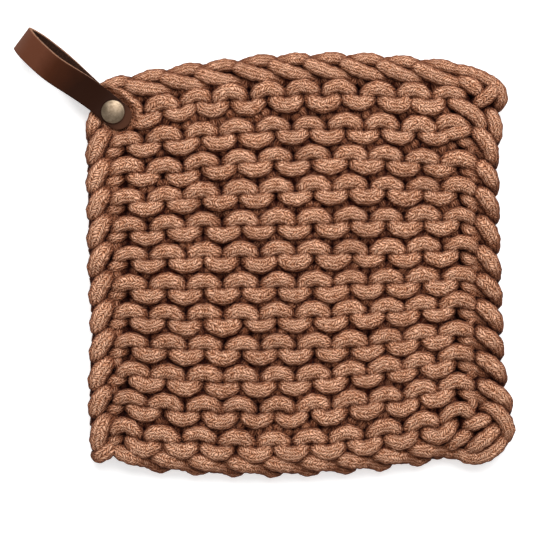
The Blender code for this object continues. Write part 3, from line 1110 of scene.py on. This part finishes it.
@dataclass
class KnitSquare:
    """The garter-knit square, ridge by ridge from its cast-on to its bound-off edge."""

    node: str = "knit_square"
    slot: str = "cotton_cord"
    seed: int = 7
    fill: float = 0.7
    link_sway: float = 0.02
    link_lift: float = 0.012
    cord: Cord = field(default_factory=Cord)
    clamped: Clamped = field(default_factory=Clamped)
    finish: CordFinish = field(default_factory=CordFinish)

    def ridge_stops(self, ridge: int, chance: random.Random) -> list[Stop]:
        """List the stops of the two rows of one ridge and of the turns at their sides.

        Args:
            ridge: The ridge's number from the top.
            chance: The seeded source of small differences.

        Returns:
            The stops, from the back at the left, along, round the right edge and back.
        """
        out = KnitRow(ridge, Face.FRONT, chance).loops()
        back = KnitRow(ridge, Face.BACK, chance).loops()
        first = [] if ridge == RIDGES else moved(LEFT_LINK[LEFT_SPLIT:], 0.0, ridge + 1)
        stops = [*first, self.first_neck(out[0]), *out]
        if ridge in CORNER_TURNS:
            stops += CORNER_TURNS[ridge]
        else:
            stops += moved(RIGHT_LINK, LAST_COLUMN, ridge)
            stops.append(neck(stops[-1], back[-1]))
        stops += reversed(back)
        stops.append(neck(back[0], moved(LEFT_LINK, 0.0, ridge)[0]))
        for stop in moved(LEFT_LINK[:LEFT_SPLIT + 1], 0.0, ridge):
            stops.append(stop._replace(course=min(stop.course, LOWEST_TURN)))
        return stops

    def first_neck(self, head: Stop) -> Stop:
        """Put the thin stop before a row's first head."""
        height = (head.height + FIRST_NECK_HEIGHT) / 2
        return Stop(head.column + FIRST_NECK_SIDE, head.course + FIRST_NECK_BACK, height, NECK_RADIUS)

    def edge_stops(
        self, link: tuple[Stop, ...], columns: range, chance: random.Random
    ) -> list[Stop]:
        """Repeat a chain link along an edge.

        Args:
            link: The stops of one link, from column zero.
            columns: The columns that get a link.
            chance: The seeded source of small differences.

        Returns:
            The stops of all the links.
        """
        stops: list[Stop] = []
        for column in columns:
            side = column + chance.gauss(0.0, self.link_sway)
            stops += moved(link, side, chance.gauss(0.0, self.link_lift))
        return stops

    def build(self) -> list[bpy.types.Object]:
        """Build and dress every piece of the knit.

        Returns:
            The pieces.
        """
        chance = random.Random(self.seed)
        material = self.finish.material()
        cast_on = self.edge_stops(CAST_ON_LINK, range(0, LAST_COLUMN), chance)
        cast_on[:2] = CAST_ON_END
        parts = {"cast_on_edge": [cast_on, list(CAST_ON_START), list(BOTTOM_LEFT_LUMP)]}
        for ridge in range(RIDGES, 0, -1):
            parts[f"garter_ridge_{ridge:02d}"] = [self.ridge_stops(ridge, chance)]
        parts["garter_ridge_02"].append(list(BELOW_TOP_RIGHT))
        bound_off = self.edge_stops(BIND_OFF_LINK, range(-1, LAST_COLUMN), chance)
        parts["bound_off_edge"] = [[*bound_off, *TOP_RIGHT_END], list(TOP_LEFT_LUMP)]
        pieces = []
        for name, strands in parts.items():
            piece = self.cord.piece(name, strands, self.clamped)
            piece.data.materials.append(material)
            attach(piece, BODY)
            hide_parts(self.node)
            pieces.append(piece)
        # Bake the share of open sky that the cord's material turns into painted shade.
        OpenSky().mark(pieces)
        return pieces


class LoopStep(NamedTuple):
    """A point of the strap's middle line: distance out from the rivet and height, in mm."""

    out: float
    height: float


@dataclass
class LeatherLoop:
    """The strap, folded in two, with its ends on the front and the back of the corner."""

    node: str = "leather_loop"
    slot: str = "strap_leather"
    width: float = 13.2
    thickness: float = 1.9
    end: float = 3.1
    roll: float = math.radians(18.0)
    roll_start: float = 6.0
    roll_end: float = 40.0
    rise: float = 0.04
    across_parts: int = 12
    along_parts: int = 220
    samples: int = 24
    narrowest: float = 1e-4
    edge_radius: float = 0.3
    sharp: float = math.radians(50.0)
    clamped: Clamped = field(default_factory=Clamped)
    steps: tuple[LoopStep, ...] = (
        LoopStep(-3.1, -3.95), LoopStep(7.0, -3.95), LoopStep(22.0, -4.9), LoopStep(38.0, -5.2),
        LoopStep(49.5, -4.1), LoopStep(56.05, -0.4), LoopStep(56.05, 2.2), LoopStep(49.5, 6.2),
        LoopStep(36.0, 8.6), LoopStep(20.0, 6.9), LoopStep(7.0, 3.95), LoopStep(-3.1, 3.95),
    )

    def path(self) -> np.ndarray:
        """Smooth the strap's middle line.

        Returns:
            Evenly spaced rows of distance out, height and half width, in mm.
        """
        half = self.width / 2
        knots = [(self.steps[0].out - half, self.steps[0].height), *self.steps,
                 (self.steps[-1].out - half, self.steps[-1].height)]
        line = []
        last = len(knots) - 1
        for i in range(last):
            before, start = np.array(knots[max(0, i - 1)]), np.array(knots[i])
            end, after = np.array(knots[i + 1]), np.array(knots[min(last, i + 2)])
            leave = (end - before) / 2 if 1 < i else end - start
            arrive = (after - start) / 2 if i < last - 2 else end - start
            if i in (1, last - 2):
                leave = arrive = end - start
            t = np.linspace(0.0, 1.0, self.samples, endpoint=False)[:, None]
            line.append(
                start * (2 * t**3 - 3 * t**2 + 1) + leave * (t**3 - 2 * t**2 + t)
                + end * (3 * t**2 - 2 * t**3) + arrive * (t**3 - t**2)
            )
        line = np.vstack((*line, knots[-1]))
        length = np.concatenate(([0.0], np.cumsum(np.linalg.norm(np.diff(line, axis=0), axis=1))))
        even = np.linspace(0.0, length[-1], self.along_parts + 1)
        out, height = (np.interp(even, length, line[:, i]) for i in range(2))
        inward = np.clip((-self.end - out) / half, 0.0, 1.0)
        return np.column_stack((out, height, half * np.sqrt(np.maximum(self.narrowest, 1.0 - inward**2))))

    def place(self, out: float, height: float, across: float) -> Vector:
        """Place a point of the loop, rolled and lifted as it lies.

        Args:
            out: Its distance out from the rivet, in mm.
            height: Its height over the middle of the knit, in mm.
            across: Its distance from the strap's middle line, in mm.

        Returns:
            Its place, in metres.
        """
        share = clamp((out - self.roll_start) / (self.roll_end - self.roll_start), 0.0, 1.0)
        roll = self.roll * share * share * (3.0 - 2.0 * share)
        way = self.clamped.way
        sideways = across * math.cos(roll) - height * math.sin(roll)
        lift = across * math.sin(roll) + height * math.cos(roll)
        lift += self.rise * max(0.0, out - self.roll_start)
        spot = self.clamped.spot + way * out + Vector((way.y, -way.x, 0.0)) * sideways
        spot.z = self.clamped.height + lift
        return spot * MM

    def build(self) -> bpy.types.Object:
        """Build and dress the strap.

        Returns:
            The piece.
        """
        path = self.path()
        builder = bmesh.new()
        layer = builder.loops.layers.uv.new("UVMap")
        bmesh.ops.create_grid(
            builder, x_segments=self.across_parts, y_segments=self.along_parts, size=0.5, calc_uvs=True
        )
        for vert in builder.verts:
            across = vert.co.x * 2.0
            out, height, half = path[round((vert.co.y + 0.5) * self.along_parts)]
            vert.co = self.place(out, height, across * half)
        bmesh.ops.reverse_faces(builder, faces=builder.faces)
        piece = new_piece("strap", builder)
        for finish in (LeatherFinish(), INNER_SIDE, CUT_EDGE):
            piece.data.materials.append(finish.material())
        wall = piece.modifiers.new("thickness", "SOLIDIFY")
        wall.thickness = self.thickness * MM
        wall.offset = 0.0
        wall.use_even_offset = True
        wall.material_offset = 1
        wall.material_offset_rim = 2
        round_off = piece.modifiers.new("rounded_edge", "BEVEL")
        round_off.width = self.edge_radius * MM
        round_off.segments = 2
        round_off.limit_method = "ANGLE"
        round_off.angle_limit = self.sharp
        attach(piece, BODY)
        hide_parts(self.node)
        return piece


class ProfileStep(NamedTuple):
    """A point of the rivet's half profile: radius and height above the strap, in mm."""

    radius: float
    height: float


@dataclass
class Rivet:
    """The set cap rivet: a domed cap with a rolled rim, its post and its back cap."""

    node: str = "rivet"
    slot: str = "aged_brass"
    segments: int = 96
    post_radius: float = 1.6
    cap_seat: float = 12.2
    back_seat: float = 1.8
    sharp: float = math.radians(50.0)
    clamped: Clamped = field(default_factory=Clamped)
    cap: tuple[ProfileStep, ...] = (
        ProfileStep(5.45, 0.0), ProfileStep(5.7, 0.12), ProfileStep(5.75, 0.38), ProfileStep(5.62, 0.62),
        ProfileStep(5.4, 0.77), ProfileStep(5.15, 0.83), ProfileStep(4.95, 0.94), ProfileStep(4.6, 1.14),
        ProfileStep(3.9, 1.48), ProfileStep(3.0, 1.78), ProfileStep(2.0, 1.97), ProfileStep(1.0, 2.07),
        ProfileStep(0.0, 2.1),
    )
    back_cap: tuple[ProfileStep, ...] = (
        ProfileStep(0.0, -1.5), ProfileStep(2.5, -1.5), ProfileStep(3.9, -1.42), ProfileStep(4.35, -1.15),
        ProfileStep(4.5, -0.8), ProfileStep(4.45, -0.2), ProfileStep(4.3, 0.0),
    )

    def build(self) -> bpy.types.Object:
        """Turn and dress the rivet.

        Returns:
            The piece.
        """
        outline = [(step.radius, self.back_seat + step.height) for step in self.back_cap]
        outline += [(self.post_radius, self.back_seat), (self.post_radius, self.cap_seat)]
        outline += [(step.radius, self.cap_seat + step.height) for step in self.cap]
        builder = bmesh.new()
        verts = [builder.verts.new((radius * MM, 0.0, height * MM)) for radius, height in outline]
        edges = [builder.edges.new(pair) for pair in zip(verts, verts[1:])]
        bmesh.ops.spin(
            builder, geom=verts + edges, axis=(0.0, 0.0, 1.0), cent=(0.0, 0.0, 0.0),
            angle=math.tau, steps=self.segments, use_merge=True,
        )
        bmesh.ops.remove_doubles(builder, verts=builder.verts, dist=MERGE)
        bmesh.ops.recalc_face_normals(builder, faces=builder.faces)
        bmesh.ops.translate(builder, vec=self.clamped.spot * MM, verts=builder.verts)
        sort_by_place(builder)
        piece = new_piece("cap_rivet", builder)
        piece.data.set_sharp_from_angle(angle=self.sharp)
        piece.data.materials.append(BrassFinish().material())
        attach(piece, BODY)
        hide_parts(self.node)
        return piece


@dataclass
class Studio:
    """The pale floor, the soft light and the camera over the pot holder."""

    view_centre: tuple[float, float] = (-0.0112, -0.0034)
    view_width: float = 0.2655
    view_height: float = 0.011
    distance: float = 1.1
    sensor: float = 36.0
    floor_reach: float = 3.0
    floor_drop: float = 0.0002
    nearest: float = 0.01
    air_light: float = 0.45

    def build(self) -> None:
        """Make the floor, the lights and the camera."""
        builder = bmesh.new()
        bmesh.ops.create_grid(builder, x_segments=1, y_segments=1, size=self.floor_reach)
        floor = new_piece("floor", builder)
        floor.location.z = -self.floor_drop
        floor.data.materials.append(FloorFinish().material())
        self.light("overhead_soft_box", (0.15, 0.85, 0.95), 1.3, 22.5)
        self.light("front_fill", (-0.4, -0.9, 0.9), 1.2, 1.0)
        world = bpy.data.worlds.new("studio_air")
        world.use_nodes = True
        air = world.node_tree.nodes["Background"]
        air.inputs[0].default_value = (1.0, 1.0, 1.0, 1.0)
        air.inputs[1].default_value = self.air_light
        bpy.context.scene.world = world
        bpy.context.scene.view_settings.view_transform = "Standard"
        self.camera()

    def light(self, name: str, place: tuple[float, float, float], size: float, power: float) -> None:
        """Add a square soft light that faces the pot holder.

        Args:
            name: The light's name.
            place: Where it hangs, in metres.
            size: Its side, in metres.
            power: Its power in watts.
        """
        data = bpy.data.lights.new(name, "AREA")
        data.size = size
        data.energy = power
        lamp = bpy.data.objects.new(name, data)
        lamp.location = place
        lamp.rotation_euler = (-Vector(place)).to_track_quat("-Z", "Y").to_euler()
        bpy.context.scene.collection.objects.link(lamp)

    def camera(self) -> None:
        """Point the camera straight down."""
        data = bpy.data.cameras.new("camera")
        data.sensor_width = self.sensor
        data.lens = self.sensor * self.distance / self.view_width
        data.clip_start = self.nearest
        camera = bpy.data.objects.new("camera", data)
        camera.location = (*self.view_centre, self.distance + self.view_height)
        bpy.context.scene.collection.objects.link(camera)
        bpy.context.scene.camera = camera


def report(piece: bpy.types.Object) -> None:
    """Log a finished piece's triangles."""
    triangles = sum(len(face.vertices) - 2 for face in piece.data.polygons)
    log.info("%s: %d triangles", piece.name, triangles)


def main() -> None:
    """Build the pot holder and the studio round it."""
    logging.basicConfig(level=logging.INFO, format="%(message)s")
    for piece in (*KnitSquare().build(), LeatherLoop().build(), Rivet().build()):
        report(piece)
    Studio().build()


if __name__ == "__main__":
    main()
